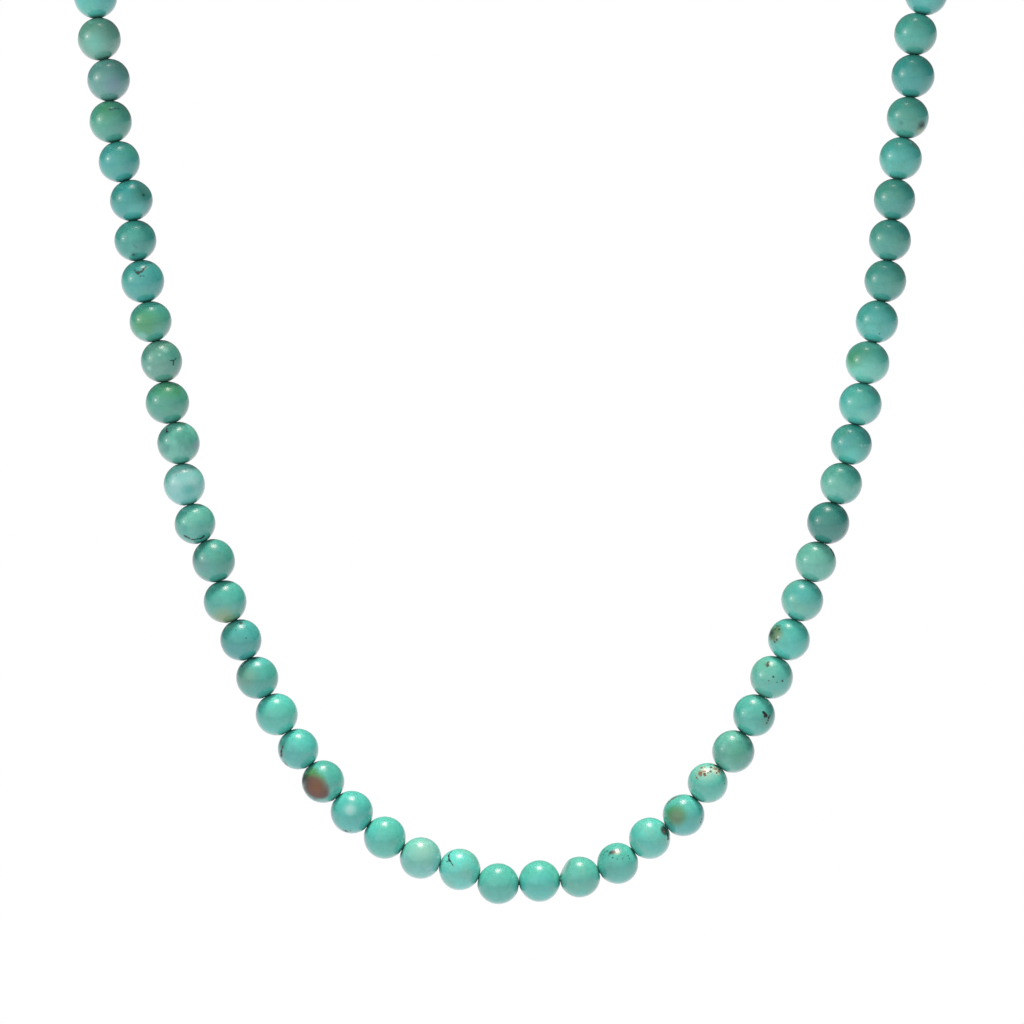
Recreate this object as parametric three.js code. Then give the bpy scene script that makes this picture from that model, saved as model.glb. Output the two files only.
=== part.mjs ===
// A necklace of round turquoise beads, strung edge to edge on one thread and closed at the nape by a plain barrel
// clasp. It keeps the form that it has when worn: the front hangs in a long U on the chest, and from there each side
// passes over the shoulder to the nape. Millimetres, +Z up, the chest faces -Y, and the origin is where the inner
// side of the clasp lies on the nape.
import * as THREE from "three";

// The beads and the thread through them
const beadDiameter = 5.96;
const drillMouthDiameter = 1.8;
const threadDiameter = 0.8;

// The barrel clasp
const claspLength = 18;
const claspDiameter = 5;
const claspEndDiameter = 2.6;
const claspTaperLength = 3.5;

// What touches on the real necklace keeps this gap between two solids
const seatGap = 0.3;

// The plane of the U leans with the chest: its lower end comes forward by this angle from upright
const chestLean = 12;

// Facets round the thread's axis
const beadSides = 12;
const claspSides = 20;

// The route of the thread: points [across, down, behind] on and behind the plane of the U, which are measured from
// the middle of the line where the string leaves the chest for the shoulders. It starts at the lowest point in
// front and goes up the left side, round the nape and down the right side.
const routePoints = [
  [1.1, 127.5, 0],
  [-13, 124, 0],
  [-25.3, 115.2, 0],
  [-34, 103, 0],
  [-40.8, 88.5, 0],
  [-45.9, 74, 0],
  [-49.9, 57.5, 0],
  [-53, 41, 0],
  [-55.5, 26.5, 0],
  [-58, 13.5, 0],
  [-60, 1, 0],
  [-60.5, -11.5, 1.2],
  [-59.5, -21.5, 6.2],
  [-55.8, -29.5, 14.8],
  [-48.2, -35.2, 25.2],
  [-36.5, -39, 34.6],
  [-20, -41.2, 41.4],
  [0, -42, 44],
  [20, -41.2, 41.4],
  [36.5, -39, 34.6],
  [48.2, -35.2, 25.2],
  [55.8, -29.5, 14.8],
  [59.5, -21.5, 6.2],
  [60.5, -11.5, 1.2],
  [59.4, 1, 0],
  [57.6, 14, 0],
  [55.6, 28, 0],
  [53.2, 43.5, 0],
  [50.2, 59, 0],
  [46.2, 74.5, 0],
  [41.4, 89.5, 0],
  [35.2, 103.5, 0],
  [26.8, 115.5, 0],
  [15.5, 124.3, 0],
];

const turquoise = new THREE.MeshStandardMaterial({ color: 0x5fb9a8, roughness: 0.25, metalness: 0 });
const silver = new THREE.MeshStandardMaterial({ color: 0xc9cacc, roughness: 0.3, metalness: 1 });

// The closed curve through the route's points, turned with the chest
function makeRoute() {
  const lean = THREE.MathUtils.degToRad(-chestLean);
  const points = routePoints.map(([across, down, behind]) =>
    new THREE.Vector3(across, behind, -down).applyAxisAngle(new THREE.Vector3(1, 0, 0), lean),
  );
  const route = new THREE.CatmullRomCurve3(points, true, "catmullrom", 0.5);
  route.arcLengthDivisions = 40 * points.length;
  return route;
}

const route = makeRoute();
const loopLength = route.getLength();

// The thread's place and direction at a distance along one side, counted from the lowest point in front
function along(side, distance) {
  const share = side === "left" ? distance / loopLength : 1 - distance / loopLength;
  const direction = route.getTangentAt(share);
  if (side === "right") direction.negate();
  return { place: route.getPointAt(share), direction };
}

// As many whole beads on each side as the clasp leaves room for
const sideLength = (loopLength - claspLength) / 2 - seatGap;
const beadsPerSide = Math.floor((sideLength - seatGap / 2) / beadDiameter);

// The rings of one bead: a ball cut flat where the drill comes out
function beadRings({ place, direction }) {
  const radius = beadDiameter / 2;
  const mouth = Math.acos(drillMouthDiameter / beadDiameter);
  return [-mouth, -mouth / 2, 0, mouth / 2, mouth].map((latitude) => ({
    place: place.clone().addScaledVector(direction, radius * Math.sin(latitude)),
    direction,
    radius: radius * Math.cos(latitude),
  }));
}

// A skin over rings of many places, directions and sizes, closed at both ends: a cylinder, each of whose rows is
// moved to its ring. Each ring turns with the thread and doesn't twist about it.
function skinOver(rings) {
  const skin = new THREE.CylinderGeometry(1, 1, 1, beadSides, rings.length - 1);
  const axis = new THREE.Vector3(0, -1, 0);
  const turn = new THREE.Quaternion().setFromUnitVectors(axis, rings[0].direction);
  const turns = rings.map(({ direction }, row) => {
    const before = rings[Math.max(row - 1, 0)].direction;
    const bend = new THREE.Quaternion().setFromUnitVectors(before, direction);
    return turn.premultiply(bend).clone();
  });
  const corners = skin.getAttribute("position");
  const corner = new THREE.Vector3();
  for (let i = 0; i < corners.count; i++) {
    corner.fromBufferAttribute(corners, i);
    const row = Math.round((0.5 - corner.y) * (rings.length - 1));
    const { place, radius } = rings[row];
    corner.setY(0).multiplyScalar(radius).applyQuaternion(turns[row]).add(place);
    corners.setXYZ(i, corner.x, corner.y, corner.z);
  }
  skin.computeVertexNormals();
  return skin;
}

// One half of the strand: its beads touch, with the thread showing in the notch between each two, and past the last
// bead the thread runs on to the clasp
function makeString(side) {
  const rings = [];
  const threadRing = (distance) => rings.push({ ...along(side, distance), radius: threadDiameter / 2 });
  for (let i = 0; i < beadsPerSide; i++) {
    const start = seatGap / 2 + i * beadDiameter;
    if (i > 0) threadRing(start);
    rings.push(...beadRings(along(side, start + beadDiameter / 2)));
  }
  threadRing(seatGap / 2 + beadsPerSide * beadDiameter);
  threadRing(sideLength);
  const string = new THREE.Mesh(skinOver(rings), turquoise);
  string.name = "bead_string_" + side;
  return string;
}

// The clasp spans the two ends of the strand as a straight barrel that narrows to each end
function makeClasp() {
  const half = claspLength / 2;
  const shoulder = half - claspTaperLength;
  const profile = [
    [0, -half],
    [claspEndDiameter / 2, -half],
    [claspDiameter / 2, -shoulder],
    [claspDiameter / 2, shoulder],
    [claspEndDiameter / 2, half],
    [0, half],
  ].map(([x, y]) => new THREE.Vector2(x, y));
  const clasp = new THREE.Mesh(new THREE.LatheGeometry(profile, claspSides), silver);
  const left = along("left", sideLength).place;
  const right = along("right", sideLength).place;
  const span = right.clone().sub(left).normalize();
  clasp.quaternion.setFromUnitVectors(new THREE.Vector3(0, 1, 0), span);
  clasp.position.copy(left).add(right).multiplyScalar(0.5);
  clasp.name = "clasp";
  return clasp;
}

const necklace = new THREE.Group();
const clasp = makeClasp();
necklace.add(makeString("left"), makeString("right"), clasp);

// The inner side of the clasp comes to the origin
necklace.position.copy(clasp.position).negate();
necklace.position.y += claspDiameter / 2;

const part = new THREE.Group();
part.add(necklace);

export default part;
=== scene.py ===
import math
import random
from bisect import bisect_right
from collections import namedtuple

import bpy
from mathutils import Matrix, Vector, noise


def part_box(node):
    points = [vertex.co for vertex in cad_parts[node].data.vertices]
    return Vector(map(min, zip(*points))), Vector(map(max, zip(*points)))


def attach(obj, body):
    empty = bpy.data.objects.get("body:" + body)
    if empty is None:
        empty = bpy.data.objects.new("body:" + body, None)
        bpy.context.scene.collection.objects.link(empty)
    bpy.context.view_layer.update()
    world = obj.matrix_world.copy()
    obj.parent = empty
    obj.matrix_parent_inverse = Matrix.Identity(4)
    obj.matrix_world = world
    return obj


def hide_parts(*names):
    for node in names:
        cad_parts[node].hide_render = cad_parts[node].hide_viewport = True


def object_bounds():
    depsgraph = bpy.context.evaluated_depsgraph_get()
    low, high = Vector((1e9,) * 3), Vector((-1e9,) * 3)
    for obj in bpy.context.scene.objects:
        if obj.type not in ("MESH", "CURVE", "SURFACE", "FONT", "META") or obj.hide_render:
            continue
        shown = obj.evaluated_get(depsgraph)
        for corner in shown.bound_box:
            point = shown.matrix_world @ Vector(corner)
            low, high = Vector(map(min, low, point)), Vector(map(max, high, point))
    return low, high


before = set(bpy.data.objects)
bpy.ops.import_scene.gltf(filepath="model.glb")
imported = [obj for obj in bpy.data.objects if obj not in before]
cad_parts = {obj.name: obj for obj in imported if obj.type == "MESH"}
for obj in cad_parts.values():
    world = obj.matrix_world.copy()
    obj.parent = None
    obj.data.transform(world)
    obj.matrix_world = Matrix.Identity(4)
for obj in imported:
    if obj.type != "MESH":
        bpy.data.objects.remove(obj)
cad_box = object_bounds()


# The thread's way
# One thread carries every bead of the real strand. In front it hangs in a long U on the chest, whose
# lower end comes forward by the lean, and each side passes over a shoulder to the clasp at the nape.
CHEST_LEAN = math.radians(12)
# Across, down and behind, on and behind the plane of the U, from the lowest point up the left side
ROUTE = [
    (0.0011, 0.1275, 0),
    (-0.013, 0.124, 0),
    (-0.0253, 0.1152, 0),
    (-0.034, 0.103, 0),
    (-0.0408, 0.0885, 0),
    (-0.0459, 0.074, 0),
    (-0.0499, 0.0575, 0),
    (-0.053, 0.041, 0),
    (-0.0555, 0.0265, 0),
    (-0.058, 0.0135, 0),
    (-0.06, 0.001, 0),
    (-0.0605, -0.0115, 0.0012),
    (-0.0595, -0.0215, 0.0062),
    (-0.0558, -0.0295, 0.0148),
    (-0.0482, -0.0352, 0.0252),
    (-0.0365, -0.039, 0.0346),
    (-0.02, -0.0412, 0.0414),
    (0, -0.042, 0.044),
    (0.02, -0.0412, 0.0414),
    (0.0365, -0.039, 0.0346),
    (0.0482, -0.0352, 0.0252),
    (0.0558, -0.0295, 0.0148),
    (0.0595, -0.0215, 0.0062),
    (0.0605, -0.0115, 0.0012),
    (0.0594, 0.001, 0),
    (0.0576, 0.014, 0),
    (0.0556, 0.028, 0),
    (0.0532, 0.0435, 0),
    (0.0502, 0.059, 0),
    (0.0462, 0.0745, 0),
    (0.0414, 0.0895, 0),
    (0.0352, 0.1035, 0),
    (0.0268, 0.1155, 0),
    (0.0155, 0.1243, 0),
]
STEPS_PER_SPAN = 40
CLASP_LENGTH = 0.018
SEAT_GAP = 0.0003

lean = Matrix.Rotation(-CHEST_LEAN, 3, "X")


def smooth_loop(points, steps):
    """The closed smooth curve through the points, as many short straight steps."""
    curve = []
    for i, here in enumerate(points):
        before, after = points[i - 1], points[(i + 1) % len(points)]
        later = points[(i + 2) % len(points)]
        for step in range(steps):
            t = step / steps
            bend = (after - before) * t + (2 * before - 5 * here + 4 * after - later) * t**2
            curve.append(here + (bend + (3 * here - before - 3 * after + later) * t**3) / 2)
    return curve + curve[:1]


way = smooth_loop([lean @ Vector((across, behind, -down)) for across, down, behind in ROUTE], STEPS_PER_SPAN)
reached = [0.0]
for here, after in zip(way, way[1:]):
    reached.append(reached[-1] + (after - here).length)
loop_length = reached[-1]


def along(side, distance):
    """The thread's place and its direction away from the front, at a distance from its lowest point."""
    distance = (distance if side == "left" else -distance) % loop_length
    step = min(bisect_right(reached, distance), len(way) - 1)
    leg = way[step] - way[step - 1]
    place = way[step - 1] + leg * ((distance - reached[step - 1]) / leg.length)
    return place, leg.normalized() * (1 if side == "left" else -1)


side_length = (loop_length - CLASP_LENGTH) / 2 - SEAT_GAP
clasp_low, clasp_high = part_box("clasp")
clasp_middle = (clasp_low + clasp_high) / 2
row_ends = [along(side, side_length)[0] for side in ("left", "right")]
to_row = clasp_middle - (row_ends[0] + row_ends[1]) / 2
clasp_span = (row_ends[1] - row_ends[0]).normalized()


# The beads
# Polished, drilled turquoise, strung edge to edge. No two are alike: each was tumbled from its own bit of
# rough, so they differ a little in size and roundness, run from sage to deep teal, and some hold brown and
# black matrix.
def from_hex(code):
    """A colour as seen, as hex digits, in the linear values that Blender uses."""
    seen = [int(code[i : i + 2], 16) / 255 for i in (0, 2, 4)]
    return tuple(v / 12.92 if v <= 0.04045 else ((v + 0.055) / 1.055) ** 2.4 for v in seen) + (1.0,)


STONE = {
    name: from_hex(code)
    for name, code in {
        "sky": "61d6c8",
        "bright": "54c7b8",
        "lagoon": "51bbb0",
        "turquoise": "57bfae",
        "sea": "58c4b0",
        "mint": "6dcbb8",
        "pale sage": "68bfab",
        "sage": "66ab97",
        "slate": "60a399",
        "lavender": "6a9ca3",
        "jade": "50ac90",
        "fern": "4ba57c",
        "moss": "47a070",
        "teal": "4bb0a0",
        "grey teal": "4fa694",
        "blue teal": "46aca4",
        "peacock": "38a49d",
        "deep teal": "40a094",
        "dark teal": "388e82",
        "ice": "7dccc5",
        "frost": "96d4cd",
        "chalk": "8accba",
        "cream": "ccd8bf",
        "sand": "83a97f",
        "olive": "4c9058",
        "khaki": "5f8a68",
        "rust": "7d5a3c",
        "plum": "644f48",
        "umber": "24403a",
        "black": "161a19",
    }.items()
}

Mark = namedtuple("Mark", "kind colour places size softness", defaults=(0.3,))
Flat = namedtuple("Flat", "facing depth")
Bead = namedtuple("Bead", "stone cloud size inward marks wide", defaults=(5.96, 0.0, (), 1.0))


def on_front(right, up):
    """The place on a ball of radius 1, on the side that faces the picture."""
    return Vector((right, -math.sqrt(max(1 - right * right - up * up, 0)), up))


def stain(colour, right, up, spread, softness=0.3):
    return Mark("stain", colour, [on_front(right, up)], spread, softness)


def dots(colour, spread, *places):
    return Mark("dots", colour, [on_front(*place) for place in places], spread)


def vein(colour, width, *places):
    return Mark("vein", colour, [on_front(*place) for place in places], width)


def specks(colour, right, up, spread):
    return Mark("specks", colour, [on_front(right, up)], spread)


def flat(right, up, depth):
    return Flat(on_front(right, up), depth)


# The beads that hang in front, in mm, from the top left round to the top right. Marks lie where the bead
# shows them, in shares of its radius to the right and up. A bead whose hole is off its middle hangs inward
# or outward, and some are a little wider or narrower than they are long.
FRONT_LEFT = 26
FRONT = [
    Bead("lagoon", "turquoise", 6.1),
    Bead("sage", "sage", 6.1, -0.2, [stain("pale sage", -0.1, -0.3, 0.4, 0.9)]),
    Bead("slate", "slate", 6.05, 0.1, [stain("lavender", 0.35, -0.3, 0.4, 0.9)]),
    Bead("jade", "grey teal", 6.0, -0.7, [
        stain("fern", -0.2, 0.55, 0.4, 0.9),
        dots("dark teal", 0.08, (0.02, 0.52), (0.13, 0.5), (0.27, 0.55), (0.42, 0.56)),
        dots("umber", 0.035, (0.05, 0.5), (0.3, 0.57)),
    ]),
    Bead("teal", "blue teal", 5.85, -0.6),
    Bead("peacock", "deep teal", 5.85, 0.1, [
        stain("dark teal", 0.6, 0.3, 0.4, 0.9),
        stain("umber", 0.62, 0.2, 0.07, 0.9),
        stain("lagoon", 0.3, -0.55, 0.4, 0.9),
        flat(0.66, 0.66, 0.09),
    ], 1.04),
    Bead("deep teal", "teal", 5.85, -0.3, [
        dots("dark teal", 0.06, (0.13, -0.36), (0.02, -0.3)),
        stain("dark teal", 0.0, -0.72, 0.16, 0.7),
        stain("umber", -0.04, -0.72, 0.06, 0.9),
    ], 1.025),
    Bead("blue teal", "teal", 6.1, -0.25, [
        vein("umber", 0.065, (-0.3, 0.48), (-0.15, 0.33), (0.0, 0.42), (0.1, 0.53), (0.2, 0.62)),
        dots("umber", 0.09, (-0.15, 0.36)),
        dots("umber", 0.035, (0.12, 0.2), (-0.02, 0.19)),
    ]),
    Bead("jade", "teal", 5.8, -0.15, [
        stain("fern", -0.35, -0.15, 0.62, 0.6),
        stain("moss", -0.2, -0.1, 0.4, 0.9),
        stain("pale sage", -0.35, -0.7, 0.2, 0.8),
    ], 1.035),
    Bead("sage", "grey teal", 6.05, 0.35, [
        stain("chalk", 0.25, 0.52, 0.14, 0.8),
        stain("chalk", -0.03, 0.28, 0.07, 0.8),
        stain("chalk", -0.55, -0.35, 0.1, 0.9),
        vein("umber", 0.035, (0.5, 0.02), (0.66, 0.02), (0.74, 0.1)),
        vein("umber", 0.035, (0.66, 0.02), (0.63, -0.2)),
    ], 0.97),
    Bead("jade", "grey teal", 6.05, 0.0, [
        stain("fern", 0.05, 0.65, 0.5, 0.8),
        stain("moss", 0.5, 0.55, 0.2, 0.9),
        flat(0.68, 0.6, 0.05),
    ], 1.025),
    Bead("pale sage", "grey teal", 6.05, 0.3, [
        stain("grey teal", -0.6, 0.5, 0.3, 0.8),
        stain("lavender", 0.85, -0.1, 0.16, 0.8),
        vein("umber", 0.07, (-0.54, 0.72), (-0.5, 0.52)),
        flat(-0.62, 0.68, 0.05),
    ]),
    Bead("ice", "mint", 6.05, -0.3, [
        # The pale frost streak across the top paints the highlight of a small facet there
        vein("frost", 0.14, (-0.5, 0.45), (-0.1, 0.62), (0.35, 0.66)),
        stain("frost", -0.4, 0.0, 0.35, 0.9),
        stain("frost", 0.45, 0.15, 0.3, 0.9),
        stain("lagoon", 0.3, -0.3, 0.25, 0.9),
    ], 0.965),
    Bead("teal", "pale sage", 5.75, -0.35, [
        vein("umber", 0.055, (-0.46, -0.56), (-0.28, -0.68), (-0.08, -0.76), (0.15, -0.76), (0.34, -0.7),
             (0.48, -0.6)),
        dots("black", 0.04, (0.3, -0.74), (0.16, -0.72), (0.42, -0.68)),
    ], 1.015),
    Bead("teal", "grey teal", 6.2, 0.55, [
        stain("dark teal", -0.5, 0.66, 0.26, 0.9),
        stain("dark teal", -0.88, 0.12, 0.24, 0.9),
        stain("slate", -0.5, -0.2, 0.35, 0.9),
        flat(-0.62, 0.66, 0.05),
    ], 0.98),
    Bead("turquoise", "teal", 6.1, 0.0, [
        stain("pale sage", 0.0, -0.6, 0.4, 0.9),
        stain("sand", 0.05, -0.86, 0.58, 0.8),
    ]),
    Bead("blue teal", "teal", 5.9, 0.0, [
        stain("umber", 0.02, 0.82, 0.1, 0.7),
        dots("umber", 0.035, (0.3, 0.12), (-0.2, 0.5)),
    ]),
    Bead("teal", "lagoon", 6.0, -0.1, [
        stain("sage", -0.6, 0.05, 0.55, 0.7),
        vein("umber", 0.05, (-0.7, 0.55), (-0.45, 0.8), (-0.1, 0.92)),
    ]),
    Bead("bright", "sea", 6.0, -0.1),
    Bead("bright", "lagoon", 5.8, -0.05, [
        stain("turquoise", -0.75, 0.2, 0.35, 0.7),
        vein("plum", 0.08, (-0.72, 0.25), (-0.78, 0.0), (-0.8, -0.28)),
        dots("umber", 0.08, (-0.82, -0.3), (-0.8, -0.08)),
        vein("plum", 0.08, (-0.64, -0.62), (-0.52, -0.76)),
    ]),
    Bead("turquoise", "teal", 6.05, 0.05, [
        stain("olive", -0.6, 0.35, 0.44, 0.4),
        stain("olive", -0.3, 0.1, 0.36, 0.6),
        stain("umber", -0.9, 0.12, 0.25, 0.9),
        stain("plum", -0.4, -0.3, 0.62, 0.4),
        stain("plum", 0.05, -0.5, 0.25, 0.5),
        stain("rust", -0.25, -0.22, 0.34, 0.9),
    ]),
    Bead("bright", "lagoon", 6.05, -0.1, [
        stain("frost", -0.05, 0.18, 0.22, 0.8),
        stain("umber", -0.26, -0.86, 0.1, 0.9),
        dots("umber", 0.04, (-0.05, -0.84), (-0.4, -0.8)),
    ]),
    Bead("sea", "bright", 6.0, -0.1),
    Bead("mint", "ice", 5.9, -0.1, [stain("chalk", 0.15, 0.45, 0.5, 0.9)]),
    Bead("sky", "mint", 5.9, 0.4, [
        vein("umber", 0.05, (-0.38, 0.88), (-0.52, 0.72), (-0.5, 0.5)),
        vein("umber", 0.028, (-0.5, 0.5), (-0.4, 0.38), (-0.26, 0.22)),
        vein("umber", 0.04, (-0.5, 0.5), (-0.62, 0.42)),
        dots("black", 0.05, (-0.53, 0.68), (-0.47, 0.46)),
    ]),
    Bead("turquoise", "sea", 5.95, -0.45, (), 0.975),
    Bead("sea", "bright", 5.9),
    Bead("turquoise", "pale sage", 5.8, -0.45, [flat(-0.86, 0.47, 0.17)]),
    Bead("turquoise", "teal", 5.85, -0.4, [
        # The small cream spot at the top paints the glow round the highlight, beside a pale fringe of the
        # brown mark
        stain("cream", -0.05, 0.62, 0.12, 0.9),
        stain("plum", -0.24, 0.6, 0.11, 0.8),
        stain("umber", -0.36, 0.57, 0.09, 0.8),
        dots("umber", 0.04, (-0.63, 0.58), (-0.52, 0.64), (-0.26, 0.34), (0.5, 0.42), (0.08, 0.72)),
        dots("umber", 0.028, (-0.45, 0.45), (0.22, 0.3), (-0.7, 0.45), (0.55, 0.3), (-0.05, 0.28)),
    ]),
    Bead("bright", "mint", 5.9, 0.35, [
        stain("umber", 0.7, 0.42, 0.25, 0.35),
        stain("plum", 0.66, 0.36, 0.07, 0.5),
        vein("black", 0.09, (0.62, 0.62), (0.78, 0.42), (0.86, 0.2), (0.88, 0.02)),
    ]),
    Bead("lagoon", "turquoise", 5.95, -0.3, [
        stain("moss", -0.6, 0.05, 0.42, 0.8),
        stain("olive", -0.35, 0.05, 0.4, 0.8),
        stain("khaki", -0.42, 0.0, 0.3, 0.9),
        dots("umber", 0.05, (0.8, -0.3), (0.84, -0.16)),
        vein("plum", 0.06, (-0.75, 0.6), (-0.5, 0.82), (-0.15, 0.95)),
    ]),
    Bead("mint", "sea", 5.7, 0.35, [
        stain("chalk", 0.0, 0.62, 0.45, 0.7),
        stain("chalk", -0.32, 0.6, 0.3, 0.8),
        stain("cream", 0.4, 0.68, 0.2, 0.9),
        stain("cream", -0.15, 0.66, 0.16, 0.9),
        stain("rust", -0.4, 0.54, 0.13, 0.8),
        stain("rust", -0.2, 0.62, 0.07, 0.8),
        stain("rust", 0.36, 0.74, 0.09, 0.8),
        stain("rust", 0.52, 0.6, 0.07, 0.8),
        specks("rust", -0.32, 0.58, 0.42),
        specks("rust", 0.4, 0.68, 0.36),
        specks("umber", 0.0, 0.7, 0.5),
        dots("umber", 0.035, (0.28, -0.86), (0.82, 0.0)),
    ]),
    Bead("pale sage", "grey teal", 6.05, 0.05, [stain("jade", 0.1, -0.15, 0.4, 0.9)]),
    Bead("turquoise", "teal", 6.0, 0.15, [
        stain("grey teal", 0.6, -0.2, 0.3, 0.9),
        dots("black", 0.11, (0.5, 0.03)),
        dots("black", 0.07, (0.4, 0.18), (0.65, -0.08), (0.46, 0.12)),
        dots("umber", 0.05, (0.56, -0.33), (0.62, -0.2), (0.72, 0.02)),
        vein("umber", 0.05, (-0.78, -0.55), (-0.6, -0.74)),
    ]),
    Bead("turquoise", "pale sage", 6.1, 0.35, [
        stain("khaki", -0.22, 0.64, 0.12, 0.8),
        vein("umber", 0.05, (-0.2, 0.74), (-0.24, 0.54)),
        dots("umber", 0.05, (0.03, 0.06), (0.46, -0.14)),
        dots("umber", 0.028, (-0.18, -0.12), (0.2, -0.2)),
        dots("umber", 0.05, (-0.76, -0.58)),
    ]),
    Bead("bright", "turquoise", 5.95, 0.15, [
        stain("khaki", -0.72, 0.32, 0.42, 0.4),
        stain("umber", -0.88, 0.3, 0.2, 0.9),
        dots("umber", 0.05, (-0.5, 0.5), (-0.68, 0.5), (-0.6, 0.66), (-0.8, 0.3), (-0.72, -0.1),
             (-0.62, 0.0)),
        dots("umber", 0.035, (-0.75, 0.12), (-0.48, 0.66), (-0.86, 0.05)),
    ]),
    Bead("pale sage", "lagoon", 6.0, 0.35, [dots("umber", 0.045, (-0.62, -0.66), (-0.52, -0.78))]),
    Bead("pale sage", "pale sage", 5.8, 0.2, [
        dots("umber", 0.07, (0.82, 0.45), (0.87, 0.32), (0.74, 0.58)),
    ]),
    Bead("dark teal", "dark teal", 6.0, 0.1, [
        dots("umber", 0.03, (0.84, 0.12), (0.7, -0.42), (0.76, -0.34)),
    ]),
    Bead("pale sage", "teal", 5.95, -0.15),
    Bead("teal", "blue teal", 5.8, -0.15, [
        specks("chalk", 0.5, 0.0, 0.42),
        stain("bright", 0.05, -0.6, 0.4, 0.9),
        stain("grey teal", -0.4, 0.5, 0.2, 0.9),
        flat(0.8, 0.35, 0.04),
    ], 1.015),
    Bead("turquoise", "lagoon", 6.1, -0.1, [stain("mint", 0.15, -0.65, 0.3, 0.9), flat(0.68, 0.62, 0.05)]),
    Bead("mint", "sea", 6.1, 0.1, [
        stain("jade", -0.5, 0.35, 0.5, 0.7),
        stain("fern", -0.8, 0.15, 0.35, 0.9),
    ], 1.02),
    Bead("lagoon", "teal", 6.05, -0.15, [dots("umber", 0.035, (0.06, -0.6))]),
    Bead("grey teal", "deep teal", 5.95, -0.35),
    Bead("grey teal", "deep teal", 5.95, -0.1, [stain("slate", 0.52, 0.1, 0.12, 0.9)]),
    Bead("grey teal", "deep teal", 5.9, 0.1),
    Bead("teal", "lagoon", 6.05, 0.1, [flat(0.62, 0.7, 0.05)]),
    Bead("teal", "grey teal", 5.95, -0.1, [
        stain("umber", 0.62, -0.45, 0.22, 0.9),
        stain("sand", 0.56, -0.7, 0.18, 0.8),
        stain("dark teal", -0.38, -0.34, 0.1, 0.9),
    ]),
    Bead("deep teal", "peacock", 6.15),
    Bead("teal", "grey teal", 6.0, 0.5, (), 1.015),
    Bead("blue teal", "lagoon", 6.1, -0.3),
]

# Behind the shoulders the same kinds of stone go on, in this order from the front to the clasp on each side
HIDDEN_A_SIDE = 15
BEHIND = [
    Bead("teal", "sea"),
    Bead("sage", "grey teal"),
    Bead("turquoise", "bright"),
    Bead("jade", "sea"),
    Bead("lagoon", "teal"),
    Bead("pale sage", "mint"),
    Bead("deep teal", "teal"),
    Bead("turquoise", "sea"),
]


def chance_marks(chance, side):
    """Marks by chance for one side of a bead: side is -1 for the side to the picture, 1 for the other."""
    spot = [(chance.uniform(-0.6, 0.6), chance.uniform(-0.6, 0.6)) for _ in range(3)]
    kind = chance.random()
    if kind < 0.3:
        marks = [dots("umber", chance.uniform(0.03, 0.06), *spot)]
    elif kind < 0.45:
        marks = [stain(chance.choice(["khaki", "moss", "plum"]), *spot[0], chance.uniform(0.15, 0.45), 0.6)]
    elif kind < 0.6:
        middle = [(a + b) / 2 + chance.uniform(-0.2, 0.2) for a, b in zip(spot[0], spot[1])]
        marks = [vein("umber", 0.05, spot[0], middle, spot[1])]
    elif kind < 0.8:
        pale = chance.choice(["chalk", "sage", "lavender"])
        marks = [stain(pale, *spot[0], chance.uniform(0.2, 0.5), 0.9)]
    else:
        marks = []
    return [mark._replace(places=[Vector((p.x, p.y * -side, p.z)) for p in mark.places]) for mark in marks]


def add_node(tree, kind, inputs, **settings):
    """A shader node. Each of its inputs, by name or number, takes a value or another node's output."""
    node = tree.nodes.new("ShaderNode" + kind)
    for name, value in settings.items():
        setattr(node, name, value)
    for key, value in inputs.items():
        if isinstance(value, bpy.types.NodeSocket):
            tree.links.new(value, node.inputs[key])
        else:
            node.inputs[key].default_value = value
    return node


def use_group(tree, group, inputs):
    """A node group placed in a material with its own values."""
    return add_node(tree, "Group", inputs, node_tree=group).outputs


def new_group(name, inputs, outputs):
    """A shader node group with named sockets: the group, what it is given and what it puts out."""
    group = bpy.data.node_groups.new(name, "ShaderNodeTree")
    for way_through, sockets in (("INPUT", inputs), ("OUTPUT", outputs)):
        for label, kind in sockets.items():
            group.interface.new_socket(label, in_out=way_through, socket_type="NodeSocket" + kind)
    return group, group.nodes.new("NodeGroupInput").outputs, group.nodes.new("NodeGroupOutput").inputs


def number_math(tree, operation, *values, **settings):
    """A number worked out from others."""
    return add_node(tree, "Math", dict(enumerate(values)), operation=operation, **settings).outputs[0]


def vector_math(tree, operation, *values):
    """A vector worked out from others, or a number where that is what comes out."""
    node = add_node(tree, "VectorMath", dict(enumerate(values)), operation=operation)
    return node.outputs["Value" if operation in ("DISTANCE", "DOT_PRODUCT", "LENGTH") else "Vector"]


def scaled(tree, vector, by):
    """A vector made longer or shorter by a number."""
    return add_node(tree, "VectorMath", {0: vector, "Scale": by}, operation="SCALE").outputs["Vector"]


def grain(tree, place, seed, scale, detail=3.0):
    """Noise through the stone, its value and its colour, the same for every bead of the same seed."""
    inputs = {"Vector": place, "W": seed, "Scale": scale, "Detail": detail, "Roughness": 0.55}
    return add_node(tree, "TexNoise", inputs, noise_dimensions="4D").outputs


def fade(tree, value, start, end, low=0.0, high=1.0):
    """A value that goes smoothly from low at start to high at end."""
    inputs = {"Value": value, "From Min": start, "From Max": end, "To Min": low, "To Max": high}
    return add_node(tree, "MapRange", inputs, interpolation_type="SMOOTHSTEP").outputs["Result"]


def mixed(tree, share, first, second, way_of="MIX"):
    """Two colours mixed by a share."""
    inputs = {0: share, 6: first, 7: second}
    return add_node(tree, "Mix", inputs, data_type="RGBA", blend_type=way_of).outputs[2]


def wandering(tree, place, seed, scale, reach):
    """A place moved about by noise, so that what is drawn by it gets an uneven edge."""
    centred = vector_math(tree, "SUBTRACT", grain(tree, place, seed, scale)["Color"], (0.5, 0.5, 0.5))
    return vector_math(tree, "ADD", place, scaled(tree, centred, reach))


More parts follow.
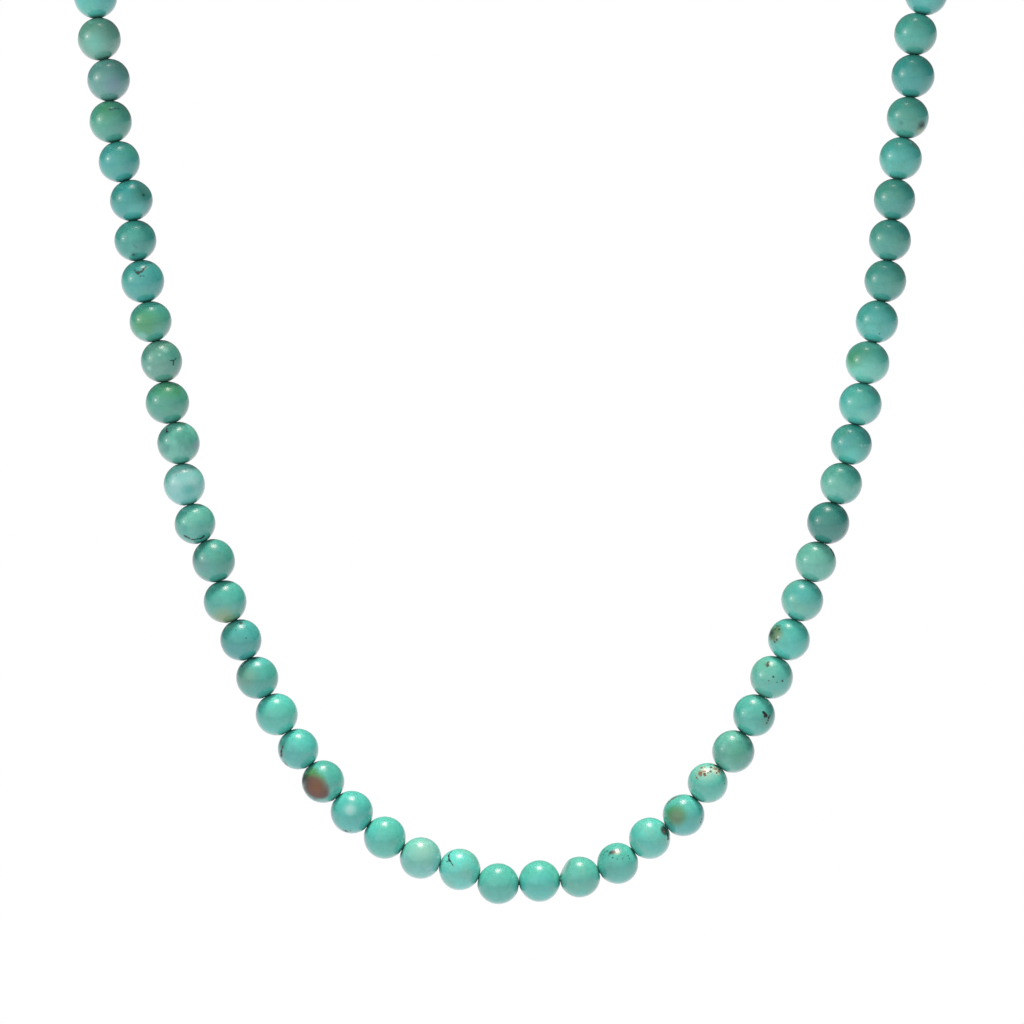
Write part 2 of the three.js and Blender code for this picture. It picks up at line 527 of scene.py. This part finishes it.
# The body of the stone: one tint that clouds into another, finely mottled, with a few chalky flecks
CLOUD_SCALE = 1.0
MOTTLE_SCALE = 4.5
FLECK_SCALE = 15.0
FLECK_SHARE = 0.3
stone_body, given, put = new_group(
    "turquoise body",
    {"Place": "Vector", "Seed": "Float", "Stone": "Color", "Cloud": "Color"},
    {"Color": "Color"},
)
where = given["Place"], given["Seed"]
cloudy = fade(stone_body, grain(stone_body, *where, CLOUD_SCALE, 2.0)[0], 0.4, 0.64)
colour = mixed(stone_body, cloudy, given["Stone"], given["Cloud"])
mottle = fade(stone_body, grain(stone_body, *where, MOTTLE_SCALE, 5.0)[0], 0.3, 0.7, low=0.93, high=1.05)
colour = mixed(stone_body, 1.0, colour, mottle, "MULTIPLY")
fleck = fade(stone_body, grain(stone_body, *where, FLECK_SCALE)[0], 0.62, 0.74, high=FLECK_SHARE)
stone_body.links.new(mixed(stone_body, fleck, colour, STONE["chalk"]), put["Color"])

# A thin vein of matrix from one place to another, which wanders and thins out here and there
VEIN_WANDER_SCALE = 5.0
VEIN_WANDER = 0.16
VEIN_THIN_SCALE = 7.0
VEIN_THINNEST = 0.4
VEIN_WIDEST = 1.3
VEIN_CORE = 0.45
VEIN_RIM = 1.35
vein_line, given, put = new_group(
    "matrix vein",
    {"Place": "Vector", "Seed": "Float", "From": "Vector", "To": "Vector", "Width": "Float"},
    {"Mask": "Float"},
)
place = wandering(vein_line, given["Place"], given["Seed"], VEIN_WANDER_SCALE, VEIN_WANDER)
run = vector_math(vein_line, "SUBTRACT", given["To"], given["From"])
away = vector_math(vein_line, "SUBTRACT", place, given["From"])
onto = vector_math(vein_line, "DOT_PRODUCT", away, run)
whole = vector_math(vein_line, "DOT_PRODUCT", run, run)
share = number_math(vein_line, "DIVIDE", onto, whole, use_clamp=True)
gap = vector_math(vein_line, "DISTANCE", away, scaled(vein_line, run, share))
thinning = grain(vein_line, given["Place"], given["Seed"], VEIN_THIN_SCALE)[0]
uneven = fade(vein_line, thinning, 0.35, 0.6, low=VEIN_THINNEST, high=VEIN_WIDEST)
width = number_math(vein_line, "MULTIPLY", given["Width"], uneven)
core = number_math(vein_line, "MULTIPLY", width, VEIN_CORE)
rim = number_math(vein_line, "MULTIPLY", width, VEIN_RIM)
vein_line.links.new(fade(vein_line, gap, core, rim, low=1.0, high=0.0), put["Mask"])

# A stain of other mineral, ragged in keeping with its size, whose edge is as soft as it is told
COARSE_RAGS = (1.3, 0.9)  # the noise's scale, and how far it moves the edge
FINE_RAGS = (4.0, 0.3)
stain_patch, given, put = new_group(
    "mineral stain",
    {"Place": "Vector", "Seed": "Float", "Middle": "Vector", "Spread": "Float", "Softness": "Float"},
    {"Mask": "Float"},
)
from_middle = vector_math(stain_patch, "SUBTRACT", given["Place"], given["Middle"])
ragged = scaled(stain_patch, from_middle, number_math(stain_patch, "DIVIDE", 1.0, given["Spread"]))
for rags in (COARSE_RAGS, FINE_RAGS):
    ragged = wandering(stain_patch, ragged, given["Seed"], *rags)
gap = vector_math(stain_patch, "LENGTH", ragged)
inner = number_math(stain_patch, "SUBTRACT", 1.0, given["Softness"])
outer = number_math(stain_patch, "ADD", 1.0, given["Softness"])
stain_patch.links.new(fade(stain_patch, gap, inner, outer, low=1.0, high=0.0), put["Mask"])

# Fine specks of matrix, scattered over a round region
SPECK_SCALE = 6.5
SMALLEST_SPECK = 0.08
LARGEST_SPECK = 0.6
SPECK_CORE = 0.7
speck_cloud, given, put = new_group(
    "matrix specks",
    {"Place": "Vector", "Seed": "Float", "Middle": "Vector", "Spread": "Float"},
    {"Mask": "Float"},
)
place = wandering(speck_cloud, given["Place"], given["Seed"], 12.0, 0.08)
inputs = {"Vector": place, "W": given["Seed"], "Scale": SPECK_SCALE}
cells = add_node(speck_cloud, "TexVoronoi", inputs, voronoi_dimensions="4D").outputs
lot = add_node(speck_cloud, "SeparateColor", {0: cells["Color"]}).outputs[0]
size = fade(speck_cloud, lot, 0.1, 1.0, low=SMALLEST_SPECK, high=LARGEST_SPECK)
inner = number_math(speck_cloud, "MULTIPLY", size, SPECK_CORE)
dot = fade(speck_cloud, cells["Distance"], inner, size, low=1.0, high=0.0)
gap = vector_math(speck_cloud, "DISTANCE", given["Place"], given["Middle"])
near = number_math(speck_cloud, "LESS_THAN", gap, given["Spread"])
speck_cloud.links.new(number_math(speck_cloud, "MULTIPLY", dot, near), put["Mask"])

# Painted shade: round the mouths of the drilled hole, where each bead meets the next, the stone is darkened
NECK_SHADE_START = 0.84
NECK_SHADE_COLOUR = (0.44, 0.43, 0.42, 1.0)
painted_neck_shade, given, put = new_group(
    "painted neck shade",
    {"Place": "Vector", "Drill": "Vector", "Seed": "Float"},
    {"Mask": "Float"},
)
place = wandering(painted_neck_shade, given["Place"], given["Seed"], 1.8, 0.12)
over_drill = vector_math(painted_neck_shade, "DOT_PRODUCT", place, given["Drill"])
height = number_math(painted_neck_shade, "ABSOLUTE", over_drill)
painted_neck_shade.links.new(fade(painted_neck_shade, height, NECK_SHADE_START, 1.0), put["Mask"])

# The tumbled polish: glossy with faint rubbing, duller and slightly sunk where matrix lies, with tiny pits
GLOSSIEST = 0.24
MOST_RUBBED = 0.32
MATRIX_DULLS = 0.25
WEAR_DULLS = 0.3
FULL_GLAZE = 0.9
BARE_GLAZE = 0.2
PIT_HEIGHT = -0.3
MATRIX_HEIGHT = -0.5
POLISH_BUMP = 0.00006
polish, given, put = new_group(
    "tumbled polish",
    {"Place": "Vector", "Seed": "Float", "Matrix": "Float", "Neck shade and wear": "Float"},
    {"Roughness": "Float", "Coat": "Float", "Height": "Float"},
)
rubbing = grain(polish, given["Place"], given["Seed"], 3.0)[0]
rubbed = fade(polish, rubbing, 0.3, 0.7, low=GLOSSIEST, high=MOST_RUBBED)
dull = number_math(polish, "MULTIPLY_ADD", given["Matrix"], MATRIX_DULLS, rubbed)
# The gloss is also duller and the coat thinner where the painted neck shade lies
dull = number_math(polish, "MULTIPLY_ADD", given["Neck shade and wear"], WEAR_DULLS, dull)
polish.links.new(dull, put["Roughness"])
bare = number_math(polish, "MAXIMUM", given["Matrix"], given["Neck shade and wear"])
polish.links.new(fade(polish, bare, 0.0, 1.0, low=FULL_GLAZE, high=BARE_GLAZE), put["Coat"])
pits = fade(polish, grain(polish, given["Place"], given["Seed"], 9.0, 0.0)[0], 0.78, 0.86, high=PIT_HEIGHT)
polish.links.new(number_math(polish, "MULTIPLY_ADD", given["Matrix"], MATRIX_HEIGHT, pits), put["Height"])

DULL = ("umber", "black", "rust", "plum")


def stone_finish(label, bead, drilled, seed):
    """The material of one bead: its body, then each of its marks over that, then the polish."""
    material = bpy.data.materials.new(label)
    material.use_nodes = True
    tree = material.node_tree
    shader = tree.nodes["Principled BSDF"]
    place = vector_math(tree, "NORMALIZE", add_node(tree, "TexCoord", {}).outputs["Object"])
    body = {"Place": place, "Seed": seed, "Stone": STONE[bead.stone], "Cloud": STONE[bead.cloud]}
    colour = use_group(tree, stone_body, body)["Color"]
    matrix = 0.0
    for number, mark in enumerate(m for m in bead.marks if isinstance(m, Mark)):
        spots = mark.places
        for leg, (start, end) in enumerate(zip(spots, spots[1:] if mark.kind == "vein" else spots)):
            inputs = {"Place": place, "Seed": seed + number + leg * 0.37}
            if mark.kind == "vein":
                inputs |= {"From": start, "To": end, "Width": mark.size}
                mask = use_group(tree, vein_line, inputs)["Mask"]
            elif mark.kind == "specks":
                inputs |= {"Middle": start, "Spread": mark.size}
                mask = use_group(tree, speck_cloud, inputs)["Mask"]
            else:
                inputs |= {"Middle": start, "Spread": mark.size, "Softness": mark.softness}
                mask = use_group(tree, stain_patch, inputs)["Mask"]
            colour = mixed(tree, mask, colour, STONE[mark.colour])
            if mark.colour in DULL:
                matrix = number_math(tree, "MAXIMUM", matrix, mask)
    # Painted shade at the necks between beads, which also dulls the polish there
    neck_shade = use_group(tree, painted_neck_shade, {"Place": place, "Drill": drilled, "Seed": seed})["Mask"]
    colour = mixed(tree, neck_shade, colour, NECK_SHADE_COLOUR, "MULTIPLY")
    finish = use_group(tree, polish, {"Place": place, "Seed": seed, "Matrix": matrix, "Neck shade and wear": neck_shade})
    bump = add_node(tree, "Bump", {"Height": finish["Height"], "Strength": 0.35, "Distance": POLISH_BUMP})
    tree.links.new(colour, shader.inputs["Base Color"])
    tree.links.new(finish["Roughness"], shader.inputs["Roughness"])
    tree.links.new(finish["Coat"], shader.inputs["Coat Weight"])
    tree.links.new(bump.outputs[0], shader.inputs["Normal"])
    shader.inputs["IOR"].default_value = 1.5
    shader.inputs["Coat Roughness"].default_value = 0.1
    shader.inputs["Coat IOR"].default_value = 1.45
    return material


BORE = 0.0004
BULGE = 1.018
CLEARANCE = 0.00002
LIP_DEPTH = 0.00012
LIP_TURNS = (30, 60, 90)
ROUNDS = 56
RINGS = 34
LUMPS = 0.014
RIPPLES = 0.005
GROUND_OFF = 0.85


def bead_mesh(label, bead, drilled, seed):
    """A tumbled ball, cut flat at both ends of its drilled hole, whose mouths the thread has worn round."""
    half = bead.size / 2000 - CLEARANCE / 2
    radius = bead.size / 2000 * BULGE
    mouth = math.sqrt(radius**2 - half**2)
    edge = math.asin(mouth / radius)
    profile = []
    for i in range(RINGS + 1):
        angle = edge + (math.pi - 2 * edge) * i / RINGS
        profile.append((radius * math.sin(angle) * bead.wide, -radius * math.cos(angle)))
    worn = [math.radians(turn) for turn in LIP_TURNS]
    lip = [(mouth - (mouth - BORE) * math.sin(a), half - LIP_DEPTH * (1 - math.cos(a))) for a in worn]
    profile += lip + [(out, -height) for out, height in reversed(lip)]
    to_drill = drilled.to_track_quat("Z", "Y").to_matrix()
    corners = []
    for out, height in profile:
        for k in range(ROUNDS):
            around = 2 * math.pi * k / ROUNDS
            corner = to_drill @ Vector((out * math.cos(around), out * math.sin(around), height))
            skin = min(max((out - mouth) / mouth, 0), 1)
            lump = noise.noise(corner / radius * 0.9 + Vector((seed, 0, 0)))
            ripple = noise.noise(corner / radius * 2.1 + Vector((0, seed, 0)))
            corner *= 1 + skin * (LUMPS * lump + RIPPLES * ripple)
            for worn_flat in (mark for mark in bead.marks if isinstance(mark, Flat)):
                proud = corner.dot(worn_flat.facing) - radius * (1 - worn_flat.depth)
                if proud > 0:
                    corner -= worn_flat.facing * proud * GROUND_OFF
            corners.append(corner)
    count = len(profile)
    faces = []
    for i in range(count):
        for k in range(ROUNDS):
            here, after, next_k = i * ROUNDS, (i + 1) % count * ROUNDS, (k + 1) % ROUNDS
            faces.append((here + k, here + next_k, after + next_k, after + k))
    mesh = bpy.data.meshes.new(label)
    mesh.from_pydata([c[:] for c in corners], [], faces)
    mesh.shade_smooth()
    return mesh


SETTLING_ROUNDS = 4


def strung(side, beads):
    """Each bead of one side with its middle, from the front on, and how much thread they take up."""
    row, reach = [], 0.0
    for bead in beads:
        near = row[-1] if row else None
        touching = ((near[0].size if near else 0) + bead.size) / 2000
        reach += touching
        for _ in range(SETTLING_ROUNDS):
            place, ahead = along(side, reach)
            flat_way = lean.transposed() @ ahead
            inward = Vector((flat_way.z, 0, -flat_way.x)) * (1 if side == "left" else -1)
            middle = place + lean @ inward * (bead.inward / 1000) + to_row
            if near:
                reach += touching - (middle - near[1]).length
        row.append((bead, middle))
    return row, reach + beads[-1].size / 2000


def whole_side(side, front):
    """The beads of one side, front to clasp. Those behind share the room that the front ones leave."""
    behind = [BEHIND[i % len(BEHIND)] for i in range(HIDDEN_A_SIDE)]
    for _ in range(SETTLING_ROUNDS):
        row, taken = strung(side, front + behind)
        room = side_length - taken
        behind = [bead._replace(size=bead.size + 1000 * room / len(behind)) for bead in behind]
    return row


left_row = whole_side("left", FRONT[:FRONT_LEFT][::-1])
right_row = whole_side("right", FRONT[FRONT_LEFT:])
strand = left_row[::-1] + right_row
thread_ends = [clasp_middle + clasp_span * (CLASP_LENGTH / 2 * turn) for turn in (-1, 1)]
stops = [thread_ends[0]] + [middle for _, middle in strand] + [thread_ends[1]]
SHAPE_SEED = 3.7
STONE_SEED = 1.37
bead_pieces = []
for number, (bead, middle) in enumerate(strand, 1):
    label = f"bead_{number:02d}"
    drilled = lean.transposed() @ (stops[number + 1] - stops[number - 1]).normalized()
    chance = random.Random(number)
    marks = list(bead.marks) + chance_marks(chance, 1)
    if not HIDDEN_A_SIDE < number <= len(strand) - HIDDEN_A_SIDE:
        marks += chance_marks(chance, -1)
    bead = bead._replace(marks=marks)
    piece = bpy.data.objects.new(label, bead_mesh(label, bead, drilled, number * SHAPE_SEED))
    piece.matrix_world = Matrix.Translation(middle) @ lean.to_4x4()
    piece.data.materials.append(stone_finish(label + "_stone", bead, drilled, number * STONE_SEED))
    bpy.context.collection.objects.link(piece)
    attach(piece, "root")
    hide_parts("bead_string_left" if number <= len(left_row) else "bead_string_right")
    bead_pieces.append(piece)


# The thread
# Three plies of beading thread, twisted and waxed, run through every bead to the clasp. It shows only as a
# dark line in the notch between two beads.
THREAD_RADIUS = 0.00028
PLY_DEPTH = 0.16
TWIST = 2 * math.pi / 0.0018
THREAD_STEP = 0.0004
THREAD_SIDES = 12
CURVE_STEPS = 20


def tube(label, path, section):
    """A closed tube along a path. section(i, angle) gives the radius at the path's i-th point."""
    last = len(path) - 1
    ahead = [(path[min(i + 1, last)] - path[max(i - 1, 0)]).normalized() for i in range(len(path))]
    across = ahead[0].orthogonal().normalized()
    corners, faces, sides = [], [], THREAD_SIDES
    for i, place in enumerate(path):
        across = (across - ahead[i] * across.dot(ahead[i])).normalized()
        third = ahead[i].cross(across)
        for k in range(sides):
            angle = 2 * math.pi * k / sides
            outward = across * math.cos(angle) + third * math.sin(angle)
            corners.append(place + outward * section(i, angle))
    for i in range(last):
        for k in range(sides):
            a, b = i * sides + k, i * sides + (k + 1) % sides
            faces.append((a, b, b + sides, a + sides))
    faces.append(tuple(range(sides - 1, -1, -1)))
    faces.append(tuple(range(last * sides, len(path) * sides)))
    mesh = bpy.data.meshes.new(label)
    mesh.from_pydata([c[:] for c in corners], [], faces)
    mesh.shade_smooth()
    return bpy.data.objects.new(label, mesh)


def even_path(points, step):
    """The smooth open curve through points, in even steps."""
    open_way = smooth_loop(points, CURVE_STEPS)[: CURVE_STEPS * (len(points) - 1) + 1]
    path, left_over = [open_way[0]], 0.0
    for here, after in zip(open_way, open_way[1:]):
        leg = (after - here).length
        while left_over + leg >= step:
            here = here + (after - here) * ((step - left_over) / leg)
            leg = (after - here).length
            path.append(here)
            left_over = 0.0
        left_over += leg
    return path + [open_way[-1]]


thread_path = even_path(stops, THREAD_STEP)
thread = tube(
    "thread",
    thread_path,
    lambda i, angle: THREAD_RADIUS * (1 + PLY_DEPTH * math.cos(3 * (angle - TWIST * THREAD_STEP * i))),
)
thread_finish = bpy.data.materials.new("waxed_thread")
thread_finish.use_nodes = True
tree = thread_finish.node_tree
shader = tree.nodes["Principled BSDF"]
where = add_node(tree, "TexCoord", {}).outputs["Object"]
fibre = add_node(tree, "TexNoise", {"Vector": where, "Scale": 4000.0, "Detail": 2.0}).outputs[0]
dye = mixed(tree, fade(tree, fibre, 0.3, 0.7), from_hex("1f4f49"), from_hex("2f6a60"))
tree.links.new(dye, shader.inputs["Base Color"])
tree.links.new(fade(tree, fibre, 0.3, 0.7, 0.45, 0.7), shader.inputs["Roughness"])
bump = add_node(tree, "Bump", {"Height": fibre, "Strength": 0.4, "Distance": 0.00003})
tree.links.new(bump.outputs[0], shader.inputs["Normal"])
thread.data.materials.append(thread_finish)
bpy.context.collection.objects.link(thread)
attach(thread, "root")


# The clasp
# A barrel turned from silver-coloured metal, in two halves that screw together, narrowed to where the
# thread enters each end. It is out of sight in the picture and plain.
CLASP_RADIUS = 0.0025
CLASP_END_RADIUS = 0.0013
CLASP_TAPER = 0.0035
CLASP_BEVEL = 0.0003
GROOVE_DEPTH = 0.00012
GROOVE_WIDTH = 0.00022
COLLAR_WIDTH = 0.0007
CLASP_SIDES = 64
TAPER_STEPS = 8
SHARP_EDGE = 25

half = CLASP_LENGTH / 2
shoulder = half - CLASP_TAPER
taper = []
for i in range(TAPER_STEPS + 1):
    share = i / TAPER_STEPS
    swell = math.sin(share * math.pi / 2)
    radius = CLASP_END_RADIUS + (CLASP_RADIUS - CLASP_END_RADIUS) * swell
    taper.append((radius, -half + CLASP_BEVEL / 2 + (CLASP_TAPER - CLASP_BEVEL / 2) * share))
ring = shoulder - COLLAR_WIDTH
low_half = [
    (0.0, -half),
    (CLASP_END_RADIUS - CLASP_BEVEL, -half),
    *taper,
    (CLASP_RADIUS, -ring),
    (CLASP_RADIUS - GROOVE_DEPTH, -ring + GROOVE_WIDTH / 2),
    (CLASP_RADIUS, -ring + GROOVE_WIDTH),
    (CLASP_RADIUS, -GROOVE_WIDTH),
    (CLASP_RADIUS - GROOVE_DEPTH, -GROOVE_WIDTH / 2),
]
profile = low_half + [(out, -height) for out, height in reversed(low_half)]
corners, faces = [], []
for out, height in profile:
    for k in range(CLASP_SIDES):
        around = 2 * math.pi * k / CLASP_SIDES
        corners.append((out * math.cos(around), out * math.sin(around), height))
for i in range(len(profile) - 1):
    for k in range(CLASP_SIDES):
        a, b = i * CLASP_SIDES + k, i * CLASP_SIDES + (k + 1) % CLASP_SIDES
        faces.append((a, b, b + CLASP_SIDES, a + CLASP_SIDES))
mesh = bpy.data.meshes.new("clasp_barrel")
mesh.from_pydata(corners, [], faces)
mesh.validate()
mesh.shade_smooth()
mesh.set_sharp_from_angle(angle=math.radians(SHARP_EDGE))
clasp = bpy.data.objects.new("clasp_barrel", mesh)
turned_to_span = clasp_span.to_track_quat("Z", "Y").to_matrix().to_4x4()
clasp.matrix_world = Matrix.Translation(clasp_middle) @ turned_to_span
clasp_finish = bpy.data.materials.new("turned_silver")
clasp_finish.use_nodes = True
tree = clasp_finish.node_tree
shader = tree.nodes["Principled BSDF"]
where = add_node(tree, "TexCoord", {}).outputs["Object"]
turned = add_node(tree, "Mapping", {"Vector": where, "Scale": (30.0, 30.0, 30000.0)}).outputs[0]
lathe_marks = add_node(tree, "TexNoise", {"Vector": turned, "Scale": 1.0, "Detail": 2.0}).outputs[0]
handled = add_node(tree, "TexNoise", {"Vector": where, "Scale": 350.0, "Detail": 4.0}).outputs[0]
metal = mixed(tree, fade(tree, handled, 0.35, 0.7), from_hex("dcdbd6"), from_hex("cdcac2"))
tree.links.new(metal, shader.inputs["Base Color"])
tree.links.new(fade(tree, handled, 0.3, 0.7, 0.16, 0.22), shader.inputs["Roughness"])
bump = add_node(tree, "Bump", {"Height": lathe_marks, "Strength": 0.12, "Distance": 0.00003})
tree.links.new(bump.outputs[0], shader.inputs["Normal"])
shader.inputs["Metallic"].default_value = 1.0
clasp.data.materials.append(clasp_finish)
bpy.context.collection.objects.link(clasp)
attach(clasp, "root")
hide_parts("clasp")


# The studio
# A floor below the strand that glows: white to the eye, and to the beads a pool of painted light
# that dims further out. White all round it to the eye, a room that is light in front and on the left, and
# two
# lamps: one overhead, shaded step by step off the upper beads, and one on the left, shaded off the lower
# ones.
PICTURE = 1024
BEAD_IN_PICTURE = 41.26
METRES_PER_PIXEL = 0.005965 / BEAD_IN_PICTURE
U_MIDDLE_IN_PICTURE = 511.5
CAMERA_DISTANCE = 0.7
SENSOR = 36
FLOOR_BELOW = 0.3
FLOOR_REACH = 30
WHITE = (1, 1, 1, 1)
BLACK = (0, 0, 0, 1)
FLOOR_LIGHT = (1.03, 0.9, 0.97, 1)
FLOOR_FAR = (0.66, 0.62, 0.66, 1)
POOL_EDGE = 0.5
POOL_END = 3
FRONT_LIGHT = 0.72
FRONT_LEFT_LIGHT = 0.9
REAR_LIGHT = 0.15
LAMP_DISTANCE = 1.5
OVERHEAD_TOWARDS = (-0.02, 1.0, 0.13)
OVERHEAD_SIZE = 0.36
OVERHEAD_POWER = 30
OVERHEAD_SOFT_SIZE = 1.4
OVERHEAD_SOFT_POWER = 30
OVERHEAD_COLOUR = (1, 0.86, 0.79)
OVERHEAD_ON_ALL = 0.05
LEFT_TOWARDS = (-0.895, 0.2, 0.4)
LEFT_SIZE = 0.24
LEFT_POWER = 4.5
LEFT_SOFT_TOWARDS = (-0.895, 0.25, 0.4)
LEFT_SOFT_SIZE = 1.2
LEFT_SOFT_POWER = 12
LEFT_COLOUR = (1, 0.9, 0.87)
SHADES = [0.035, 0.015, -0.005, -0.025]  # heights above the picture's middle, at which a shade ends
SHADE_SLOPE = 0.36  # how much lower a shade ends to the right

scene = bpy.context.scene
scene.view_settings.view_transform = "Standard"
picture_width = PICTURE * METRES_PER_PIXEL
aim_across = (PICTURE / 2 - U_MIDDLE_IN_PICTURE) * METRES_PER_PIXEL
aim = lean @ Vector((aim_across, 0, -picture_width / 2)) + to_row
to_camera = lean @ Vector((0, -1, 0))
picture_up = lean @ Vector((0, 0, 1))
up_the_shade = picture_up + Vector((SHADE_SLOPE, 0, 0))

camera = bpy.data.objects.new("camera", bpy.data.cameras.new("camera"))
camera.location = aim + to_camera * CAMERA_DISTANCE
camera.rotation_mode = "QUATERNION"
camera.rotation_quaternion = (-to_camera).to_track_quat("-Z", "Y")
camera.data.sensor_width = SENSOR
camera.data.lens = SENSOR * CAMERA_DISTANCE / picture_width
camera.data.clip_start = 0.01
bpy.context.collection.objects.link(camera)
scene.camera = camera

floor_level = cad_box[0].z - FLOOR_BELOW
floor_turns = ((-1, -1), (1, -1), (1, 1), (-1, 1))
floor_corners = [(x * FLOOR_REACH, y * FLOOR_REACH, floor_level) for x, y in floor_turns]
floor_mesh = bpy.data.meshes.new("floor")
floor_mesh.from_pydata(floor_corners, [], [(0, 1, 2, 3)])
floor = bpy.data.objects.new("floor", floor_mesh)
floor_glow = bpy.data.materials.new("glowing_white_floor")
floor_glow.use_nodes = True
tree = floor_glow.node_tree
shader = tree.nodes["Principled BSDF"]
where = add_node(tree, "TexCoord", {}).outputs["Object"]
far = vector_math(tree, "LENGTH", where)
# Painted light: the floor glows, brightest in a pool round the strand and dimmer further out; to the eye it
# is plain white
pool = mixed(tree, fade(tree, far, POOL_EDGE, POOL_END), FLOOR_LIGHT, FLOOR_FAR)
seen_direct = add_node(tree, "LightPath", {}).outputs["Is Camera Ray"]
tree.links.new(mixed(tree, seen_direct, pool, WHITE), shader.inputs["Emission Color"])
shader.inputs["Emission Strength"].default_value = 1
shader.inputs["Base Color"].default_value = BLACK
shader.inputs["Specular IOR Level"].default_value = 0
floor.data.materials.append(floor_glow)
bpy.context.collection.objects.link(floor)

world = bpy.data.worlds.new("studio")
scene.world = world
world.use_nodes = True
tree = world.node_tree
towards = add_node(tree, "TexCoord", {}).outputs["Generated"]
sides = add_node(tree, "SeparateXYZ", {0: towards}).outputs
to_front = number_math(tree, "MULTIPLY", sides["Y"], -1.0, use_clamp=True)
to_left = number_math(tree, "MULTIPLY", sides["X"], -1.0, use_clamp=True)
to_rear = number_math(tree, "MULTIPLY", sides["Y"], REAR_LIGHT, use_clamp=True)
gain = number_math(tree, "MULTIPLY_ADD", to_left, FRONT_LEFT_LIGHT, FRONT_LIGHT)
room_light = number_math(tree, "MULTIPLY_ADD", to_front, gain, to_rear)
seen_direct = add_node(tree, "LightPath", {}).outputs["Is Camera Ray"]
strength = add_node(tree, "Mix", {0: seen_direct, 2: room_light, 3: 1.0}, data_type="FLOAT").outputs[0]
tree.links.new(strength, tree.nodes["Background"].inputs["Strength"])
tree.nodes["Background"].inputs["Color"].default_value = WHITE


def lamp(label, towards, size, power, colour, lit):
    """A round lamp, out in a direction of the picture: right, up and near. It lights only lit."""
    data = bpy.data.lights.new(label, "AREA")
    data.shape = "DISK"
    data.size = size
    data.energy = power
    data.color = colour
    light = bpy.data.objects.new(label, data)
    right, up, near = towards
    way_out = (lean @ Vector((right, -near, up))).normalized()
    light.location = aim + way_out * LAMP_DISTANCE
    light.rotation_mode = "QUATERNION"
    light.rotation_quaternion = way_out.to_track_quat("Z", "Y")
    receivers = bpy.data.collections.new(label)
    for piece in lit:
        receivers.objects.link(piece)
    light.light_linking.receiver_collection = receivers
    bpy.context.collection.objects.link(light)


def overhead(label, share, lit):
    """The overhead lamp, as bright as its share: a small bright disc in a wide soft one."""
    for part, size, power in (
        ("", OVERHEAD_SIZE, OVERHEAD_POWER),
        ("_soft", OVERHEAD_SOFT_SIZE, OVERHEAD_SOFT_POWER),
    ):
        lamp(label + part, OVERHEAD_TOWARDS, size, power * share, OVERHEAD_COLOUR, lit)


overhead("overhead", OVERHEAD_ON_ALL, bead_pieces)
share = 1 / len(SHADES)
heights = [(piece.matrix_world.translation - aim).dot(up_the_shade) for piece in bead_pieces]
for step, shade in enumerate(SHADES):
    above = [piece for piece, height in zip(bead_pieces, heights) if height > shade]
    below = [piece for piece, height in zip(bead_pieces, heights) if height <= shade]
    overhead(f"overhead_{step}", (1 - OVERHEAD_ON_ALL) * share, below)
    for part, towards, size, power in (
        ("left", LEFT_TOWARDS, LEFT_SIZE, LEFT_POWER),
        ("left_soft", LEFT_SOFT_TOWARDS, LEFT_SOFT_SIZE, LEFT_SOFT_POWER),
    ):
        lamp(f"{part}_{step}", towards, size, power * share, LEFT_COLOUR, above)
